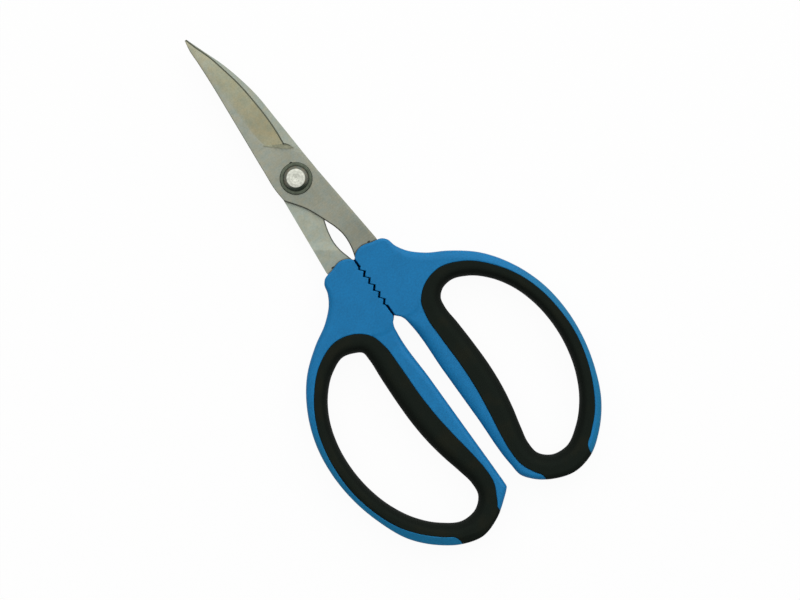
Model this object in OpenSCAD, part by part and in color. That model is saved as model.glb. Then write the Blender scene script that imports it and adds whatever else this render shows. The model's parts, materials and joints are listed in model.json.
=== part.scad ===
// Poultry shears: two pivoted blades with moulded handles and soft-lined finger loops.
// They lie closed on a flat surface: +X is towards the right handle, +Y towards the tips, +Z up.

/* [Overall] */
// Length from the blade tips to the ends of the finger loops
overall_length = 210.6; // [195:0.2:226]
// Thickness of the handles
handle_thickness = 12; // [11:0.5:14]

/* [Blades] */
// Thickness of each blade
blade_thickness = 2.5; // [2:0.1:2.8]
// Thickness left along the cutting edges
edge_thickness = 0.4; // [0.3:0.1:0.8]
// Gap between the blades away from the pivot
blade_relief = 0.1; // [0.06:0.02:0.2]
// Diameter of the flat lands that meet round the pivot
land_diameter = 14; // [12.5:0.5:14]
// Diameter of the holes that anchor a tang in its handle
anchor_diameter = 3.4; // [2.5:0.1:4]

/* [Pivot] */
// Diameter of the rivet shank
shank_diameter = 6; // [5:0.2:6.4]
// Radial clearance of the front blade on the shank
running_clearance = 0.05; // [0.03:0.01:0.09]
// Diameter of the washers
washer_diameter = 11.9; // [11:0.1:13]
// Thickness of the washers
washer_thickness = 0.8; // [0.5:0.1:1]
// Diameter of the front head where it meets its washer
head_base = 9; // [8:0.1:10]
// Diameter of the flat top of the front head
head_top = 6.8; // [6:0.1:7.6]
// Height of the front head
head_height = 3; // [2:0.1:3.5]
// Diameter of the rear head
rear_head = 9.6; // [8:0.1:10.4]
// Height of the rear head
rear_height = 1.5; // [1:0.1:1.6]

/* [Handles] */
// Gap between the arms of the closed handles
arm_gap = 5.5; // [4.5:0.1:6.5]
// Gap between the closing faces
face_gap = 0.8; // [0.6:0.1:1.2]
// Number of gripping teeth on the left handle
tooth_count = 5; // [3:1:5]
// Distance from tooth to tooth
tooth_pitch = 3.1; // [2.6:0.1:3.1]
// Depth of the teeth
tooth_depth = 1.4; // [1:0.1:1.5]
// Sideways gap between meshing teeth
tooth_gap = 0.5; // [0.45:0.05:0.7]
// Drop of an arm's faces below the pad that holds the tang
arm_drop = 0.4; // [0.2:0.1:0.8]

/* [Grips] */
// How deep the handle's tongue reaches into the soft lining
tongue_depth = 2; // [1:0.25:2.5]
// Thickness of that tongue
tongue_thickness = 3; // [2:0.5:4]

/* [Hidden] */

$fn = 96;

// The outlines below are written about the pivot for shears of this length
drawn_length = 210.6;
drawn_tip = 64.6;
drawn_end = 146;
plan = overall_length / drawn_length;
pivot_y = (drawn_end - drawn_tip) / 2 * plan;
half = handle_thickness / 2;

// Heights are measured from the plane where the blades meet
blade_low = blade_relief / 2;
blade_high = blade_low + blade_thickness;
land_gap = 0.02;
head_low = blade_high + washer_thickness + land_gap;

// Straight steps from point to point of a curve, on most outlines, round the loops and along the bevels
curve_steps = 4;
loop_steps = 3;
bevel_steps = 2;
// Steps from the side of a rounded edge to its face
edge_steps = 4;
// How far cuts run past what they cut
past = 1;

steel = [0.62, 0.62, 0.58];
dark_steel = [0.22, 0.25, 0.22];
bright_steel = [0.85, 0.85, 0.8];
blue_plastic = [0.15, 0.46, 0.71];
black_rubber = [0.1, 0.11, 0.1];

// Outer edge of a handle from the crotch round the finger loop to the nose,
// each point with the width and the height of the rounding on its edges
arm_x = arm_gap / 2;
outer_edge = [
    [face_gap / 2, -61.3, 0.3, 0.3],
    [1.35, -62.5, 0.5, 0.5],
    [2.3, -64.4, 0.8, 0.8],
    [arm_x, -67.5, 1, 1],
    [arm_x, -88, 1, 1],
    [arm_x, -109, 1, 1],
    [arm_x, -130, 1.2, 1.2],
    [3.5, -135.4, 1.4, 1.6],
    [6.1, -138.9, 1.7, 2.2],
    [12.6, -143.6, 2, 3],
    [20.6, -146, 2, 3.5],
    [28.2, -144.6, 2, 3.5],
    [36.2, -139, 1.8, 3.5],
    [43, -131, 1.7, 3.5],
    [48.7, -118.5, 1.7, 3.5],
    [51.6, -106.5, 1.7, 3.5],
    [52.3, -95.5, 1.7, 3.5],
    [50.8, -83.5, 1.7, 3.5],
    [46, -71, 2, 3.5],
    [38.7, -60.7, 2.4, 3.5],
    [29.7, -53.5, 2.8, 3.2],
    [22.2, -49, 2.8, 3],
    [17, -44, 2.4, 2.5],
    [15, -40.4, 1.8, 1.8],
    [14.2, -37.5, 1.2, 1.2],
    [12.9, -36, 1, 1],
    [9, -34.9, 1, 1],
    [4.6, -33.9, 0.9, 0.9],
    [1.7, -34.9, 0.6, 0.6],
    [face_gap / 2, -36.4, 0.3, 0.3]
];

// Seam between the hard frame and the soft lining, from the frame's outer tail to its inner tail
seam_edge = [
    [29.1, -142.6],
    [29.6, -140.9],
    [33, -137.9],
    [39, -132],
    [44.2, -124.4],
    [48.2, -114.4],
    [50, -104],
    [50.1, -95],
    [49, -86.3],
    [45.6, -76],
    [39.8, -67],
    [32.5, -60.2],
    [22.5, -56.7],
    [14.7, -59.1],
    [11.1, -62.6],
    [9.3, -68],
    [8.95, -78],
    [9.1, -90],
    [8.7, -100],
    [7.6, -110],
    [6.2, -119.5],
    [5.6, -126],
    [6, -132],
    [8.2, -137.2],
    [9.7, -140.2],
    [9.6, -142.2]
];
// The lining runs out to the loop's own edge between the tails, so the cut there goes past it
outside_y = -drawn_end - past;
// Middle of the frame's hidden rib, which joins the two tails inside the lining
hidden_rib = [[13.6, -141], [20.4, -141.9], [26.4, -141.2]];
rib_back = 0.8;

// Finger hole where it is narrowest, each point with the width of the rounding on its edges
finger_hole = [
    [23.8, -62.9, 3.6],
    [20, -63.7, 3.8],
    [17.6, -66, 4],
    [16.9, -69.5, 4.2],
    [17.3, -76.5, 4.5],
    [17.7, -87, 4.5],
    [17.7, -96.5, 4.5],
    [17, -105.5, 4.5],
    [15.6, -113.8, 4.5],
    [13.8, -121.5, 4.5],
    [12.7, -127.5, 4.4],
    [13.3, -132.4, 4.4],
    [17, -136, 4.2],
    [23, -136.8, 4],
    [30.6, -132.5, 3.6],
    [37, -125.6, 3.2],
    [41.6, -117, 3],
    [44.3, -107.5, 3],
    [45.2, -97, 3],
    [44.1, -87, 3],
    [41.2, -78.2, 3],
    [36.6, -70.9, 3.2],
    [30.5, -65.4, 3.4]
];
// Height of the rounding round the finger hole, which leaves a narrow flat at the middle
hole_round = 0.9 * half;
// Points in the pad and in the finger hole from which their whole outlines are in sight
pad_hub = [14, -52];
hole_hub = [25, -98];

// Where the first tooth of each handle starts: the right handle sits a little further back
right_teeth_y = -40.6;
left_teeth_y = -40.2;

// Each half is drawn as seen from its own outer side, and the rear half is turned over.
// Blade spine from the tip to the pivot, and the edge that then crosses to the handle
front_spine = [
    [-3.7, 64.6],
    [-4.4, 61],
    [-4.6, 55],
    [-5.1, 45.5],
    [-6.1, 33],
    [-7.1, 21],
    [-8.1, 9],
    [-8.65, 1],
    [-8.3, -4.3]
];
rear_spine = [
    [3.2, 64.6],
    [0.2, 57],
    [-2, 51.1],
    [-5, 39.6],
    [-6.1, 33],
    [-6.7, 23.6],
    [-7.3, 13],
    [-7.7, 5.6],
    [-8.1, 0],
    [-8.3, -4.3]
];
crossing_edge = [
    [-8.3, -4.3],
    [-6, -7.4],
    [-3.4, -11.1],
    [-1.4, -15.1],
    [0.2, -18.9],
    [1.5, -22.7],
    [2.1, -27],
    [1.9, -31],
    [1.3, -35.2]
];
// Tang inside the handle, then the straight outer edge up to the pivot
tang = [
    [1.3, -35.2],
    [2.6, -38],
    [3.2, -47],
    [4.6, -52.5],
    [8.8, -52.5],
    [10, -47],
    [10.9, -34.4],
    [8.3, -3]
];
front_back = [[8.3, -3], [7.7, 1], [7.3, 6], [6.9, 9.2]];
rear_back = [[8.3, -3], [8, 0], [7.6, 5], [7, 8.8]];
// Choil notch, and the cutting edge from the heel to the tip
front_choil = [[6.9, 9.2], [5.6, 11], [4.5, 12.4], [3.8, 14.2]];
rear_choil = [[7, 8.8], [3.6, 10.6], [0.6, 12.4], [-0.4, 14.5]];
front_edge = [
    [3.8, 14.2],
    [4.2, 19],
    [4.3, 24],
    [3.9, 31.6],
    [3, 40.6],
    [2, 46.1],
    [0, 55.1],
    [-2, 61.1],
    [-3.3, 64.6]
];
rear_edge = [
    [-0.4, 14.5],
    [-0.7, 20],
    [-0.6, 27],
    [0, 34],
    [1, 42],
    [2.3, 50],
    [3.3, 58],
    [3.7, 64.6]
];
// Top of the bevel, point for point beside the cutting edge
front_ridge = [
    [-2, 16.2],
    [-3, 20],
    [-3.6, 25],
    [-3.9, 32],
    [-4.2, 41],
    [-4.3, 46.6],
    [-4.35, 55.4],
    [-4.3, 61.4],
    [-4, 64.8]
];
rear_ridge = [
    [-5.2, 16.8],
    [-5.4, 21.5],
    [-5.1, 28],
    [-4.6, 35],
    [-3.4, 42],
    [-1, 50.5],
    [1.6, 58.4],
    [3.4, 64.8]
];
// Where the ramp at the heel of the bevel comes back up to the flat
front_ramp = [[-2, 15.9], [5.2, 10.2]];
rear_ramp = [[-5.2, 16.5], [3.6, 10.6]];

// Anchor holes along a tang
anchor_places = [[6.6, -41.5], [6.7, -48.2]];

// Nib on the rim of the front washer
nib_angle = 73;
nib_width = 0.8;
nib_reach = 0.5;
washer_chamfer = 0.15;
washer_play = 0.2;

// Centre and radius of the round end of the pad, where the arm steps down, and the reach of that step
pad_centre = [5.6, -56.5];
pad_radius = 7.3;
step_reach = [11, -60];

// Smooth curves through points of any number of values, of which the first two are x and y
function scaled(points) = [
    for (p = points) [for (i = [0 : len(p) - 1]) i < 2 ? p[i] * plan : p[i]]
];
function reversed(points) = [for (i = [len(points) - 1 : -1 : 0]) points[i]];
function last_of(points) = points[len(points) - 1];
function flat(points) = [for (p = points) [p.x, p.y]];
function span(a, b) = norm([b.x - a.x, b.y - a.y]);
function heading(a, b, c) =
    let (before = span(a, b), after = span(b, c))
    ((b - a) * (after / before) + (c - b) * (before / after)) / (before + after);
function blend(p, q, leave, arrive, t) =
    p * (2 * t^3 - 3 * t^2 + 1) + leave * (t^3 - 2 * t^2 + t)
    + q * (3 * t^2 - 2 * t^3) + arrive * (t^3 - t^2);
function curve(points, steps = curve_steps) =
    let (last = len(points) - 1)
    [
        for (i = [0 : last - 1])
            let (
                b = points[i],
                c = points[i + 1],
                reach = span(b, c),
                leave = i == 0 ? c - b : heading(points[i - 1], b, c) * reach,
                arrive = i == last - 1 ? c - b : heading(b, c, points[i + 2]) * reach
            )
            for (j = [0 : steps - 1]) blend(b, c, leave, arrive, j / steps),
        points[last]
    ];
function closed_curve(points, steps = curve_steps) =
    let (n = len(points))
    [
        for (i = [0 : n - 1])
            let (
                b = points[i],
                c = points[(i + 1) % n],
                reach = span(b, c),
                leave = heading(points[(i + n - 1) % n], b, c) * reach,
                arrive = heading(b, c, points[(i + 2) % n]) * reach
            )
            for (j = [0 : steps - 1]) blend(b, c, leave, arrive, j / steps)
    ];

// Inward direction at a corner of a counter-clockwise outline, long enough to keep its sides parallel
function left_of(a, b) = [a.y - b.y, b.x - a.x] / span(a, b);
function inward(points, i) =
    let (
        n = len(points),
        u = left_of(points[(i + n - 1) % n], points[i]),
        v = left_of(points[i], points[(i + 1) % n])
    )
    (u + v) / (1 + u * v);
function inset(points, distance) = [
    for (i = [0 : len(points) - 1]) flat(points)[i] + distance * inward(points, i)
];

// A slab whose edges are rounded: way = 1 rounds them in, and way = -1 flares them out past both faces.
// Each outline point holds x, y and the width and height of its rounding, and hub is a point
// from which the whole outline is in sight.
module rounded_slab(outline, hub, way = 1, over = 0) {
    n = len(outline);
    turns = [for (k = [0 : edge_steps]) [90 * k / edge_steps, 0]];
    levels = over > 0 ? concat(turns, [[90, over]]) : turns;
    rings = concat([for (l = reversed(levels)) [l[0], l[1], -1]], [for (l = levels) [l[0], l[1], 1]]);
    directions = [for (i = [0 : n - 1]) way * inward(outline, i)];
    skin = [
        for (r = rings)
            for (i = [0 : n - 1])
                let (
                    p = outline[i],
                    aside = p[2] * (1 - cos(r[0])) * directions[i]
                )
                [p.x + aside.x, p.y + aside.y, r[2] * (half - p[3] * (1 - sin(r[0])) + r[1])]
    ];
    hubs = [for (side = [-1, 1]) [hub.x * plan, hub.y * plan, side * (half + over)]];
    low_hub = len(skin);
    top = (len(rings) - 1) * n;
    caps = [
        for (i = [0 : n - 1])
            let (j = (i + 1) % n)
            for (face = [[low_hub, i, j], [low_hub + 1, top + j, top + i]]) face
    ];
    sides = [
        for (k = [0 : len(rings) - 2])
            for (i = [0 : n - 1])
                let (a = k * n + i, b = k * n + (i + 1) % n)
                for (face = [[a, a + n, b + n], [a, b + n, b]]) face
    ];
    polyhedron(concat(skin, hubs), concat(caps, sides));
}

// Closing face of a handle from nose to crotch, with its zigzag of teeth
function closing_face(first_y, first_is_tip) =
    let (
        face = face_gap / 2,
        tip = (tooth_gap - tooth_depth) / 2,
        root = (tooth_gap + tooth_depth) / 2,
        corners = 2 * tooth_count + 1,
        end_x = first_is_tip ? tip : root,
        lead = abs(end_x - face) / tooth_depth * tooth_pitch / 2,
        start = first_y * plan,
        finish = start - (corners - 1) * tooth_pitch / 2,
        crisp = 0.25
    )
    [
        [face, start + lead, crisp, crisp],
        for (i = [0 : corners - 1])
            [(i % 2 == 0) == first_is_tip ? tip : root, start - i * tooth_pitch / 2, crisp, crisp],
        [face, finish - lead, crisp, crisp]
    ];

// A finger loop with its pad, before the soft lining is cut from it
module loop_blank(first_y, first_is_tip) {
    hole = [for (p = closed_curve(scaled(finger_hole), loop_steps)) [p.x, p.y, p[2], hole_round]];
    difference() {
        rounded_slab(concat(curve(scaled(outer_edge)), closing_face(first_y, first_is_tip)), pad_hub);
        rounded_slab(hole, hole_hub, -1, past);
    }
}

// Space that the soft lining fills: inside the seam, and clear of the tongue and the hidden rib
module lining_space() {
    seam = curve(scaled(seam_edge), loop_steps);
    past_tails = scaled([[last_of(seam_edge).x, outside_y], [seam_edge[0].x, outside_y]]);
    frame_side = [for (i = [1 : len(seam_edge) - 2]) seam_edge[i]];
    rib = closed_curve(scaled(concat(frame_side, hidden_rib)), loop_steps);
    difference() {
        translate([0, 0, -half - past])
            linear_extrude(2 * (half + past))
                polygon(concat(seam, past_tails));
        translate([0, 0, -tongue_thickness / 2])
            linear_extrude(tongue_thickness)
                difference() {
                    polygon(inset(rib, -rib_back));
                    polygon(inset(rib, tongue_depth));
                }
    }
}

// The arm between pad and tail, which lies lower than the pad on both faces
module arm_step() {
    low = half - arm_drop;
    for (side = [0, 1])
        mirror([0, 0, side])
            difference() {
                translate([-past, outside_y * plan, low])
                    cube([step_reach.x * plan + past, (step_reach.y - outside_y) * plan, arm_drop + past]);
                translate([pad_centre.x * plan, pad_centre.y * plan, low - past])
                    cylinder(r = pad_radius * plan, h = arm_drop + 3 * past);
            }
}

// Outline of a blade with its tang
function joined(curves) = [for (c = curves) for (i = [0 : len(c) - 2]) c[i]];
function blade_outline(spine, back, choil, edge) = joined([
    curve(scaled(spine)),
    curve(scaled(crossing_edge)),
    scaled(tang),
    curve(scaled(back)),
    curve(scaled(choil), bevel_steps),
    curve(scaled(edge)),
    scaled([last_of(edge), spine[0]])
]);
front_outline = blade_outline(front_spine, front_back, front_choil, front_edge);
rear_outline = blade_outline(rear_spine, rear_back, rear_choil, rear_edge);

module blade_plate(outline) {
    translate([0, 0, blade_low])
        linear_extrude(blade_thickness)
            difference() {
                polygon(outline);
                for (place = anchor_places)
                    translate(place * plan)
                        circle(d = anchor_diameter);
            }
}

// Wedge ground away between a ridge and a cutting edge, with a ramp up to the flat at the heel
module bevel_cut(ridge, edge, ramp) {
    depth = blade_thickness - edge_thickness;
    lift = 0.05;
    before = 0.02;
    beyond = 1.3;
    high = blade_high + past;
    tops = concat([ramp[0]], curve(ridge, bevel_steps), [last_of(ridge) + [0, past]]);
    feet = concat([ramp[1]], curve(edge, bevel_steps), [last_of(edge) + [0, past]]);
    sections = [
        for (i = [0 : len(tops) - 1])
            let (
                run = feet[i] - tops[i],
                inner = (tops[i] - before * run) * plan,
                outer = (tops[i] + beyond * run) * plan,
                inner_z = blade_high + (i == 0 ? lift : before * depth),
                outer_z = blade_high + (i == 0 ? lift : -beyond * depth)
            )
            [
                [inner.x, inner.y, inner_z],
                [inner.x, inner.y, high],
                [outer.x, outer.y, high],
                [outer.x, outer.y, outer_z]
            ]
    ];
    swept_bar(sections);
}

// A four-sided bar through a row of sections
module swept_bar(sections) {
    last = 4 * (len(sections) - 1);
    sides = [
        for (k = [0 : len(sections) - 2])
            for (i = [0 : 3])
                let (a = 4 * k + i, b = 4 * k + (i + 1) % 4)
                for (face = [[a, a + 4, b + 4], [a, b + 4, b]]) face
    ];
    ends = [[0, 1, 2], [0, 2, 3], [last + 2, last + 1, last], [last + 3, last + 2, last]];
    polyhedron([for (s = sections) for (p = s) p], concat(ends, sides));
}

module placed() {
    translate([0, pivot_y, half])
        children();
}

module turned_over() {
    rotate([0, 180, 0])
        children();
}

module blade(outline, ridge, edge, ramp, bore) {
    difference() {
        union() {
            blade_plate(outline);
            translate([0, 0, land_gap / 2])
                cylinder(d = land_diameter, h = blade_low + blade_thickness / 2);
        }
        bevel_cut(ridge, edge, ramp);
        translate([0, 0, -past])
            cylinder(d = bore, h = blade_high + 2 * past);
    }
}

module handle(outline, first_y, first_is_tip) {
    difference() {
        loop_blank(first_y, first_is_tip);
        lining_space();
        arm_step();
        blade_plate(outline);
    }
}

module grip(first_y, first_is_tip) {
    intersection() {
        loop_blank(first_y, first_is_tip);
        lining_space();
    }
}

module front_blade() {
    color(steel)
        placed()
            blade(front_outline, front_ridge, front_edge, front_ramp, shank_diameter + 2 * running_clearance);
}

module rear_blade() {
    color(steel)
        placed()
            turned_over()
                blade(rear_outline, rear_ridge, rear_edge, rear_ramp, shank_diameter);
}

module right_handle() {
    color(blue_plastic)
        placed()
            handle(front_outline, right_teeth_y, true);
}

module left_handle() {
    color(blue_plastic)
        placed()
            turned_over()
                handle(rear_outline, left_teeth_y, false);
}

module right_grip() {
    color(black_rubber)
        placed()
            grip(right_teeth_y, true);
}

module left_grip() {
    color(black_rubber)
        placed()
            turned_over()
                grip(left_teeth_y, false);
}

module pivot_rivet() {
    shank = shank_diameter / 2;
    rim = 0.3;
    dimple = 0.8;
    dimple_depth = 0.2;
    rear_low = -blade_high - washer_thickness;
    dome = [
        for (turn = [90 : -15 : 0])
            [rear_head / 2 * cos(turn), rear_low - rim - (rear_height - rim) * sin(turn)]
    ];
    color(bright_steel)
        placed()
            rotate_extrude()
                polygon(concat(dome, [
                    [rear_head / 2, rear_low],
                    [shank, rear_low],
                    [shank, head_low],
                    [head_base / 2, head_low],
                    [head_base / 2, head_low + rim],
                    [head_top / 2, head_low + head_height],
                    [dimple, head_low + head_height],
                    [0, head_low + head_height - dimple_depth]
                ]));
}

module washer(bore) {
    outer = washer_diameter / 2;
    rotate_extrude()
        polygon([
            [bore / 2, 0],
            [outer, 0],
            [outer, washer_thickness - washer_chamfer],
            [outer - washer_chamfer, washer_thickness],
            [bore / 2, washer_thickness]
        ]);
}

module front_washer() {
    bore = shank_diameter + 2 * washer_play;
    reach = washer_diameter / 2 + nib_reach;
    color(dark_steel)
        placed()
            translate([0, 0, blade_high]) {
                washer(bore);
                rotate([0, 0, nib_angle])
                    translate([bore / 2 + past, -nib_width / 2, 0])
                        cube([reach - bore / 2 - past, nib_width, washer_thickness / 2]);
            }
}

module rear_washer() {
    color(dark_steel)
        placed()
            turned_over()
                translate([0, 0, blade_high])
                    washer(shank_diameter + 2 * washer_play);
}

front_blade();
rear_blade();
right_handle();
left_handle();
right_grip();
left_grip();
pivot_rivet();
front_washer();
rear_washer();
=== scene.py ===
import json
import math

import bpy
import numpy as np
from bpy.props import FloatProperty, FloatVectorProperty, PointerProperty
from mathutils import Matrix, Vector
from mathutils.geometry import delaunay_2d_cdt


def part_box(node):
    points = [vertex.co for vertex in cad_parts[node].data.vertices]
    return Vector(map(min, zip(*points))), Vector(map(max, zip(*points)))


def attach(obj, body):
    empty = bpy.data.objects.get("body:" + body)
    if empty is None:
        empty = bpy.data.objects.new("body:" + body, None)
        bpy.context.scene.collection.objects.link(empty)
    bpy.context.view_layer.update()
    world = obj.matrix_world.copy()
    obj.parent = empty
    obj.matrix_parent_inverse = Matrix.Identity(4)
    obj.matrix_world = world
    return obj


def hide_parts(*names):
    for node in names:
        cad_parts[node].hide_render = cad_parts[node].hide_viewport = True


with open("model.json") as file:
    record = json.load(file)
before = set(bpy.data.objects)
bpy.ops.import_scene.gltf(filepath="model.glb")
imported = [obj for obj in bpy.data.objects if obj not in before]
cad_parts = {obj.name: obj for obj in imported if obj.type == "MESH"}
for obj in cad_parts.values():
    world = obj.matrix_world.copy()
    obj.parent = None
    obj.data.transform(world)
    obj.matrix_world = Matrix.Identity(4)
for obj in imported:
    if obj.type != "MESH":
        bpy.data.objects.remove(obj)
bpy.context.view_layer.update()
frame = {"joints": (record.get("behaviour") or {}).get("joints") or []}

bl_info = {
    "name": "Poultry shears",
    "version": (1, 0, 0),
    "blender": (4, 5, 0),
    "location": "View3D > Sidebar > Shears",
    "description": "Riveted poultry shears with moulded handles and soft-lined finger loops",
    "category": "Object",
}

MM = 0.001

# The two halves: the blade and the handle of each, whether it lies turned over, and its body
HALVES = [("front", "right", False, "front_half"), ("rear", "left", True, "rear_half")]

# All outlines are in millimetres about the pivot. Each half is drawn as seen from its own outer side.
# Outer edge of a handle from the crotch round the finger loop to the nose,
# each point with the width and the height of its edges' shaping and how much of that is a flat bevel
OUTER_EDGE = [
    (0.4, -61.3, 0.3, 0.3, 0),
    (1.35, -62.5, 0.6, 0.5, 0),
    (2.3, -64.4, 1.1, 0.9, 0),
    (2.75, -67.5, 2.4, 1.9, 0),
    (2.75, -88, 4, 2.3, 0),
    (2.75, -109, 3.8, 2.3, 0),
    (2.75, -130, 2.8, 2.3, 0),
    (3.5, -135.4, 2, 2.2, 0),
    (6.1, -138.9, 1.7, 2, 0.2),
    (12.6, -143.6, 2, 2.4, 0.6),
    (20.6, -146, 2, 2.8, 0.9),
    (28.2, -144.6, 2, 2.8, 1),
    (36.2, -139, 2, 2.8, 1),
    (43, -131, 2, 2.8, 1),
    (48.7, -118.5, 2, 2.8, 1),
    (51.6, -106.5, 2.1, 2.8, 1),
    (52.3, -95.5, 2.1, 2.8, 1),
    (50.8, -83.5, 2.1, 2.8, 1),
    (46, -71, 2.3, 2.8, 1),
    (38.7, -60.7, 2.6, 2.8, 0.9),
    (29.7, -53.5, 2.8, 2.6, 0.7),
    (22.2, -49, 2.8, 2.4, 0.5),
    (17, -44, 2.4, 2, 0.3),
    (15, -40.4, 1.8, 1.6, 0),
    (14.2, -37.5, 1.2, 1.2, 0),
    (12.9, -36, 1, 1, 0),
    (9, -34.9, 1, 1, 0),
    (4.6, -33.9, 0.9, 0.9, 0),
    (1.7, -34.9, 0.6, 0.6, 0),
    (0.4, -36.4, 0.3, 0.3, 0),
]
# The handle's nose, where the tang comes out of it
NOSE = OUTER_EDGE[-6:]
# The left handle's flatter arm and crisper lower corner, in place of the fourth to thirteenth knots
LEFT_END = [
    (2.75, -67.5, 1.9, 1.9, 0),
    (2.75, -88, 2.2, 2.3, 0),
    (2.75, -109, 2, 2.3, 0),
    (2.75, -130, 1.8, 2.3, 0),
    (2.8, -134.3, 1.7, 2.2, 0),
    (2.95, -135.9, 1.6, 2.2, 0),
    (3.6, -136.6, 1.6, 2.1, 0),
    (6.2, -138.8, 1.7, 2, 0.2),
    (12.75, -143.3, 2, 2.4, 0.6),
    (20.6, -145.6, 2, 2.8, 0.9),
    (27.8, -143.8, 2, 2.8, 1),
    (35.9, -138.6, 2, 2.8, 1),
]
# How much wider the lower rim of the left loop is bevelled
LEFT_BEVEL = 1.45
# Seam between the hard frame and the soft lining, from the frame's outer tail to its inner tail
SEAM = [
    (29.1, -142.6), (29.6, -140.9), (33, -137.9), (39, -132), (43.9, -124.2), (47.9, -114.3),
    (50, -104), (50.1, -95), (49, -86.3), (45.6, -76), (39.8, -67), (32.5, -60.2), (22.5, -56.7),
    (14.7, -59.1), (11.1, -62.6), (9.4, -68), (9.1, -78), (9.25, -90), (8.8, -100), (7.6, -110),
    (6.2, -119.5), (5.6, -126), (6, -132), (8.4, -137.4), (10.1, -140), (10.2, -142.2),
]
# The two ends of the left handle's seam, in place of the first four knots and the last three
LEFT_OUTER_TAIL = [(28.2, -142), (28.7, -140.3), (32.4, -137.3), (38.5, -131.6)]
LEFT_INNER_TAIL = [(8, -136.3), (9.2, -138.5), (10, -139.8), (9.9, -142)]
OUTSIDE_Y = -147
# Finger hole where it is narrowest, each point with the width of the rounding on its edges
FINGER_HOLE = [
    (23.8, -62.9, 3.6), (20, -63.7, 3.8), (17.6, -66, 4), (16.9, -69.5, 4.2), (17.3, -76.5, 4.5),
    (17.7, -87, 4.5), (17.7, -96.5, 4.5), (17, -105.5, 4.5), (15.6, -113.8, 4.5),
    (13.8, -121.5, 4.5), (12.7, -127.5, 4.4), (13.3, -132.4, 4.4), (17, -136, 4.2), (23, -136.8, 4),
    (30.6, -132.5, 3.6), (37, -125.6, 3.2), (41.6, -117, 3), (44.3, -107.5, 3), (45.2, -97, 3),
    (44.1, -87, 3), (41.2, -78.2, 3), (36.6, -70.9, 3.2), (30.5, -65.4, 3.4),
]
# The left finger hole's crisper upper corner, in place of the second knot and the third
LEFT_HOLE_CORNER = [(20.15, -64, 3.8), (17.3, -65.85, 4)]
# Round end of the pad, how far before and past it the faces fall to those of the arm,
# and the corner inside and below which the arm lies
PAD_CENTRE = (5.6, -56.5)
PAD_RADIUS = 7.3
PAD_FALL = (-0.3, 1.7)
ARM_START = (11, -59)
# How far at most the handles' walls stand inside the lines above, and the least half thickness at a rim
WALL_INSET = 0.08
THINNEST = 0.3

# Gripping teeth: where the first one starts, and whether that is a tip
TEETH = {"right": (-40.6, True), "left": (-40.2, False)}
TOOTH_COUNT = 5
TOOTH_PITCH = 3.1
TOOTH_DEPTH = 1.4
TOOTH_GAP = 0.75
FACE_GAP = 0.95
# The closing faces lean to an edge a little above mid thickness on their own side,
# where the two lap by a hair
EDGE_LAP = 0.01
EDGE_LIFT = 0.4

# Blades: the tang inside the handle and its outer edge. Then for each blade the spine from the tip
# to the pivot, the edge that crosses to the handle, the back beside the pivot, the choil notch, the
# cutting edge from its heel to the tip, the ridge where the hollow grind starts, and the heel and the
# foot of the ramp at the grind's lower end
TANG = [
    (0.5, -36.2), (2.6, -38.4), (3.2, -47), (4.6, -52.5), (8.8, -52.5), (10, -47), (11.1, -34.4),
]
OUTER_TANG = [(11.1, -34.4), (8.3, -3)]
BLADES = {
    "front": {
        "spine": [
            (-3.75, 64.6), (-4.4, 61), (-4.6, 55), (-5.1, 45.5), (-6.1, 33), (-7.1, 21), (-8.1, 9),
            (-8.65, 1), (-8.3, -4.3),
        ],
        "crossing": [
            (-8.3, -4.3), (-6, -7.4), (-3.5, -11.1), (-1.6, -15.2), (-0.1, -19), (1.3, -22.8),
            (2.1, -27), (1.9, -30.8), (1.4, -33.4), (0.5, -36.2),
        ],
        "back": [(8.3, -3), (7.7, 1), (7.3, 5.4), (6.7, 7.8), (5.7, 9.9)],
        "choil": [(5.7, 9.9), (5.3, 11.3), (4.7, 12.3), (3.9, 13.2)],
        "edge": [
            (3.9, 13.2), (4.35, 18), (4.5, 24), (4.15, 31.6), (3.25, 40.6), (2.2, 46.1),
            (0.1, 55.1), (-2, 61.1), (-3.05, 64.6),
        ],
        "ridge": [
            (-2.5, 16.4), (-3.2, 20), (-3.6, 25), (-3.9, 32), (-4.2, 41), (-4.3, 46.6),
            (-4.35, 55.4), (-4.3, 61.4), (-4, 64.8),
        ],
        "heel": [(-2.5, 16.3), (-1.2, 15.9), (0.1, 15.1), (2.1, 13.9), (3.9, 13.15), (5.8, 11.6)],
        "ramp": [(-2.5, 16.1), (0, 13.9), (2.1, 11.9), (3.5, 10.8), (5.6, 9.8)],
    },
    "rear": {
        "spine": [
            (2.95, 64.6), (0.2, 57), (-2, 51.1), (-5, 39.6), (-6.1, 33), (-6.7, 23.6), (-7.3, 13),
            (-7.7, 5.6), (-8.1, 0), (-8.3, -4.3),
        ],
        "crossing": [
            (-8.3, -4.3), (-6, -7.4), (-3.2, -11.1), (-1, -15), (0.6, -18.8), (1.7, -22.6),
            (2.3, -27), (2, -30.6), (1.2, -33.6), (0.5, -36.2),
        ],
        "back": [(8.3, -3), (8, 0), (7.6, 5), (7, 8.8)],
        "choil": [(7, 8.8), (3.6, 10.6), (0.6, 12.4), (-0.4, 14.5)],
        "edge": [
            (-0.4, 14.5), (-0.7, 20), (-0.6, 27), (0, 34), (1, 42), (2.3, 50), (3.3, 58),
            (3.7, 64.6),
        ],
        "ridge": [
            (-5.2, 16.8), (-5.4, 21.5), (-5.1, 28), (-4.6, 35), (-3.4, 42), (-1, 50.5), (1.6, 58.4),
            (3.4, 64.8),
        ],
        "heel": [(-5.2, 16.8), (-0.4, 14.3), (3, 12.6)],
        "ramp": [(-5.2, 16.5), (-2, 13.8), (3.6, 10.6)],
    },
}

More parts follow.
